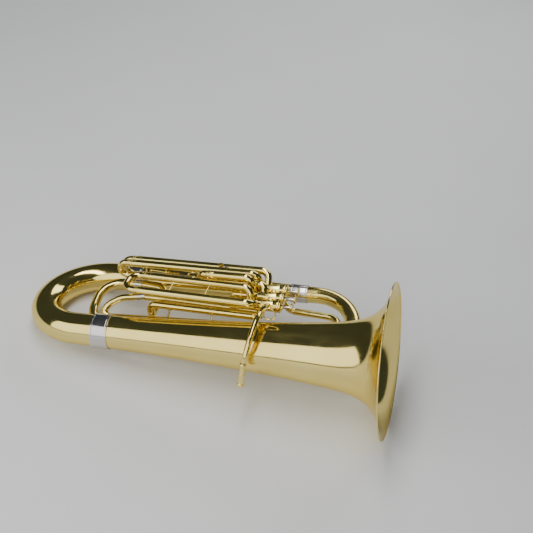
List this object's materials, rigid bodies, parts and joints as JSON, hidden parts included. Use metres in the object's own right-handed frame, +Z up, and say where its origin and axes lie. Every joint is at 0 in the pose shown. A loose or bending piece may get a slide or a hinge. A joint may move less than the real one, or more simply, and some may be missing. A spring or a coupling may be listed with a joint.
{
  "type": "tuba",
  "caption": "Top-action piston tuba lying on its back: conical bell and bows, valve cluster with pull slides, leadpipe arched over the bell.",
  "frame": {"origin": "middle of the bounding box at the surface that the tuba lies on", "axes": "+X along the tuba towards the bell's rim, +Y towards the outer branch, +Z up, away from the surface it lies on"},
  "size_m": [0.9344, 0.4714, 0.364],
  "materials": {
    "lacquered_brass": "polished, clear lacquer",
    "slide_brass": "polished, clear lacquer",
    "cap_brass": "polished, clear lacquer",
    "nickel_silver": "polished nickel silver, clear lacquer",
    "button_nickel": "polished",
    "piston_nickel": "fine lapped nickel plate",
    "spring_steel": "drawn wire"
  },
  "bodies": {
    "tuba_body": {"bell_stem": "lacquered_brass", "bell_middle": "lacquered_brass", "bell_throat": "lacquered_brass", "bell_flare": "lacquered_brass", "bell_ferrule": "nickel_silver", "bottom_bow": "lacquered_brass", "branch_ferrule": "nickel_silver", "outer_branch": "lacquered_brass", "top_ferrule": "nickel_silver", "top_bow": "lacquered_brass", "inner_ferrule": "nickel_silver", "inner_branch": "lacquered_brass", "inner_bow": "lacquered_brass", "small_top_bow": "slide_brass", "small_branch": "slide_brass", "cross_branch": "slide_brass", "valve_1_casing": "slide_brass", "valve_1_bottom_cap": "cap_brass", "valve_1_top_cap": "cap_brass", "valve_1_spring": "spring_steel", "valve_2_casing": "slide_brass", "valve_2_bottom_cap": "cap_brass", "valve_2_top_cap": "cap_brass", "valve_2_spring": "spring_steel", "valve_3_casing": "slide_brass", "valve_3_bottom_cap": "cap_brass", "valve_3_top_cap": "cap_brass", "valve_3_spring": "spring_steel", "knuckle_1_2": "slide_brass", "knuckle_2_3": "slide_brass", "first_slide_sleeves": "slide_brass", "second_slide_sleeves": "slide_brass", "third_slide_sleeves": "slide_brass", "tuning_slide_sleeves": "slide_brass", "lyre_socket": "slide_brass", "leadpipe": "slide_brass", "mouthpiece_receiver": "slide_brass", "thumb_ring": "slide_brass", "leadpipe_brace": "slide_brass", "bell_brace_1": "slide_brass", "bell_brace_2": "slide_brass"},
    "valve_1_stack": {"valve_1_piston": "piston_nickel", "valve_1_stem": "piston_nickel", "valve_1_button": "button_nickel"},
    "valve_2_stack": {"valve_2_piston": "piston_nickel", "valve_2_stem": "piston_nickel", "valve_2_button": "button_nickel"},
    "valve_3_stack": {"valve_3_piston": "piston_nickel", "valve_3_stem": "piston_nickel", "valve_3_button": "button_nickel"},
    "first_slide_tube": {"first_slide": "slide_brass"},
    "second_slide_tube": {"second_slide": "slide_brass"},
    "third_slide_tube": {"third_slide": "slide_brass"},
    "tuning_slide_tube": {"tuning_slide": "slide_brass"},
    "water_key_lever": {"water_key": "slide_brass"}
  },
  "joints": [
    {"name": "valve_1_press", "type": "slide", "parent": "tuba_body", "child": "valve_1_stack", "axis": [-0.9893, 0, -0.146], "range_m": [0, 0.0168], "stiffness_N_per_m": 130, "springref_m": -0.012, "deforming": ["valve_1_spring"]},
    {"name": "valve_2_press", "type": "slide", "parent": "tuba_body", "child": "valve_2_stack", "axis": [-0.9893, 0, -0.146], "range_m": [0, 0.0168], "stiffness_N_per_m": 130, "springref_m": -0.012, "deforming": ["valve_2_spring"]},
    {"name": "valve_3_press", "type": "slide", "parent": "tuba_body", "child": "valve_3_stack", "axis": [-0.9893, 0, -0.146], "range_m": [0, 0.0168], "stiffness_N_per_m": 130, "springref_m": -0.012, "deforming": ["valve_3_spring"]},
    {"name": "first_slide_pull", "type": "slide", "parent": "tuba_body", "child": "first_slide_tube", "axis": [-0.988, 0.0377, -0.1501], "range_m": [0, 0.1]},
    {"name": "second_slide_pull", "type": "slide", "parent": "tuba_body", "child": "second_slide_tube", "axis": [-0.9893, 0, -0.146], "range_m": [0, 0.045]},
    {"name": "third_slide_pull", "type": "slide", "parent": "tuba_body", "child": "third_slide_tube", "axis": [-0.9893, 0, -0.146], "range_m": [0, 0.14]},
    {"name": "tuning_slide_pull", "type": "slide", "parent": "tuba_body", "child": "tuning_slide_tube", "axis": [-0.9893, 0, -0.146], "range_m": [0, 0.1]},
    {"name": "water_key_lift", "type": "hinge", "parent": "tuba_body", "child": "water_key_lever", "pos_m": [-0.14163, 0.12369, 0.15473], "axis": [-0.0163, -0.9937, 0.1108], "range_deg": [0, 9.5], "stiffness_Nm_per_rad": 0.02, "springref_deg": -20.05}
  ]
}
